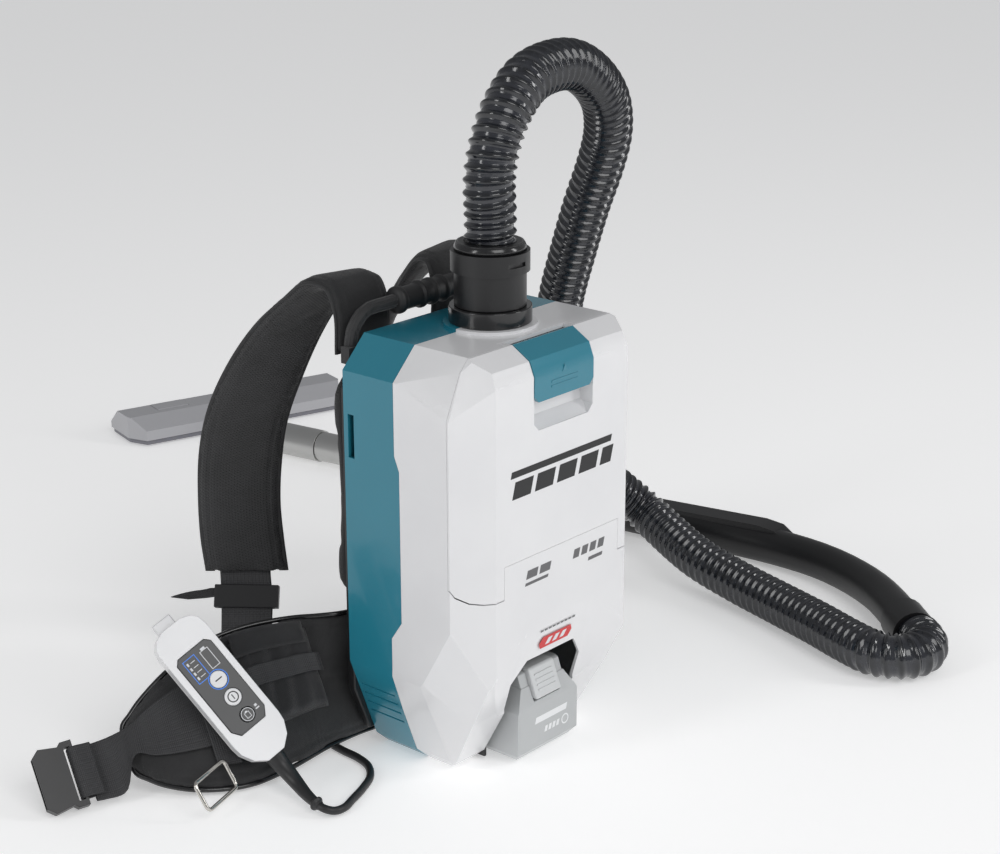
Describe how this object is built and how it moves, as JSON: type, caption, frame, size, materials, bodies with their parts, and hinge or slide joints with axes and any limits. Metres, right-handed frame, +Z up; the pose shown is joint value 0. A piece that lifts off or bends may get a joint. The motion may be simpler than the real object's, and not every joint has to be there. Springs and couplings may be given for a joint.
{
  "type": "backpack vacuum cleaner",
  "caption": "Cordless backpack vacuum cleaner: boxy housing on a padded harness and hip belt, spiral suction hose, bent handpiece, pipe and floor head, wired remote.",
  "frame": {"origin": "middle of the housing's foot bridge, on the floor", "axes": "+Z up, -Y is the way the dust cover faces, +X to the right seen from the cover's side"},
  "size_m": [0.9132, 1.1074, 0.5752],
  "materials": {
    "teal_plastic": "glossy moulded",
    "white_plastic": "glossy moulded",
    "black_plastic": "fine moulded grain",
    "hose_plastic": "glossy, spiral ribs",
    "rubber": "matt",
    "nylon": "woven nylon and mesh",
    "webbing": "ribbed webbing",
    "steel": "nickel plated",
    "aluminium": "satin anodised",
    "silver_plastic": "fine satin",
    "dark_grey_plastic": "satin",
    "battery_grey": "satin",
    "filter_paper": "fleece and pleated paper",
    "board": "circuit board"
  },
  "bodies": {
    "housing": {"rear_shell": "teal_plastic", "front_shell": "white_plastic", "cover_pin_left": "steel", "cover_pin_right": "steel", "port_ring": "black_plastic", "cuff_sleeve": "black_plastic", "suction_hose": "hose_plastic", "dust_bag": "filter_paper", "hepa_filter": "filter_paper", "motor": "steel", "motor_mount": "rubber", "control_board": "board", "battery_bay": "black_plastic", "battery_terminal": "black_plastic", "back_plate": "black_plastic", "back_pad": "nylon", "lumbar_pad": "nylon", "carry_handle": "nylon", "handle_grip": "rubber", "shoulder_strap_left": "nylon", "shoulder_strap_right": "nylon", "strap_webbing_left": "webbing", "strap_webbing_right": "webbing", "strap_adjuster_left": "black_plastic", "strap_adjuster_right": "black_plastic", "belt_wing_left": "nylon", "belt_wing_right": "nylon", "belt_webbing_left": "webbing", "belt_webbing_right": "webbing", "buckle_male": "black_plastic", "buckle_female": "black_plastic", "belt_pocket": "nylon", "belt_loop": "webbing", "remote_front": "white_plastic", "remote_rear": "white_plastic", "remote_panel": "black_plastic", "remote_hook": "white_plastic", "remote_boot": "rubber", "remote_cable": "rubber", "cable_gland": "rubber", "handpiece": "black_plastic", "wand_pipe": "aluminium"},
    "cover": {"dust_cover": "white_plastic", "latch_pin": "steel"},
    "latch": {"cover_latch": "teal_plastic"},
    "lock_ring": {"cuff_lock_ring": "black_plastic"},
    "fan": {"impeller": "black_plastic"},
    "battery": {"battery": "battery_grey"},
    "battery_release": {"battery_button": "battery_grey"},
    "mode_button": {"mode_key": "white_plastic"},
    "power_button": {"power_key": "white_plastic"},
    "check_button": {"check_key": "white_plastic"},
    "ring": {"belt_ring": "steel"},
    "slider": {"suction_slider": "black_plastic"},
    "pipe_release": {"lock_key": "black_plastic"},
    "neck": {"swivel_neck": "aluminium"},
    "elbow": {"head_elbow": "silver_plastic"},
    "head": {"floor_head": "silver_plastic", "head_sole": "dark_grey_plastic"},
    "pedal": {"brush_pedal": "silver_plastic"}
  },
  "joints": [
    {"name": "cover_hinge", "type": "hinge", "parent": "housing", "child": "cover", "pos_m": [0, -0.0795, 0.1685], "axis": [1, 0, 0], "range_deg": [0, 95]},
    {"name": "latch_hinge", "type": "hinge", "parent": "cover", "child": "latch", "pos_m": [0, -0.0575, 0.3555], "axis": [-1, 0, 0], "range_deg": [0, 24], "stiffness_Nm_per_rad": 0.4},
    {"name": "lock_ring_turn", "type": "hinge", "parent": "housing", "child": "lock_ring", "pos_m": [0, -0.006, 0.412], "axis": [0, 0, 1], "range_deg": [0, 40]},
    {"name": "fan_spin", "type": "hinge", "parent": "housing", "child": "fan", "pos_m": [0, -0.008, 0.18], "axis": [0, 0, 1], "continuous": true},
    {"name": "battery_slide", "type": "slide", "parent": "housing", "child": "battery", "axis": [0, -1, 0], "range_m": [0, 0.13]},
    {"name": "battery_release_press", "type": "slide", "parent": "battery", "child": "battery_release", "axis": [0, 0, -1], "range_m": [0, 0.002], "stiffness_N_per_m": 800},
    {"name": "mode_press", "type": "slide", "parent": "housing", "child": "mode_button", "axis": [0.4188, 0.7456, -0.5184], "range_m": [0, 0.0008], "stiffness_N_per_m": 900},
    {"name": "power_press", "type": "slide", "parent": "housing", "child": "power_button", "axis": [0.4188, 0.7456, -0.5184], "range_m": [0, 0.0008], "stiffness_N_per_m": 900},
    {"name": "check_press", "type": "slide", "parent": "housing", "child": "check_button", "axis": [0.4188, 0.7456, -0.5184], "range_m": [0, 0.0008], "stiffness_N_per_m": 900},
    {"name": "ring_swing", "type": "hinge", "parent": "housing", "child": "ring", "pos_m": [-0.24489, 0.0748, 0.03157], "axis": [0.9511, 0.309, 0], "range_deg": [-35, 12]},
    {"name": "suction_slide", "type": "slide", "parent": "housing", "child": "slider", "axis": [0.1447, -0.9895, 0], "range_m": [0, 0.04]},
    {"name": "pipe_release_press", "type": "slide", "parent": "housing", "child": "pipe_release", "axis": [0, 0, -1], "range_m": [0, 0.002], "stiffness_N_per_m": 800},
    {"name": "neck_swivel", "type": "hinge", "parent": "housing", "child": "neck", "pos_m": [0.38534, 0.62632, 0.02], "axis": [0.1447, -0.9895, 0], "range_deg": [-90, 90]},
    {"name": "elbow_swivel", "type": "hinge", "parent": "neck", "child": "elbow", "pos_m": [0.381, 0.656, 0.02], "axis": [0.1447, -0.9895, 0], "range_deg": [-90, 90]},
    {"name": "head_tilt", "type": "hinge", "parent": "elbow", "child": "head", "pos_m": [0.41884, 0.76888, 0.017], "axis": [0.96, -0.28, 0], "range_deg": [-20, 25]},
    {"name": "pedal_rock", "type": "hinge", "parent": "head", "child": "pedal", "pos_m": [0.34904, 0.81528, 0.031], "axis": [0.28, 0.96, 0], "range_deg": [-2, 2]}
  ]
}
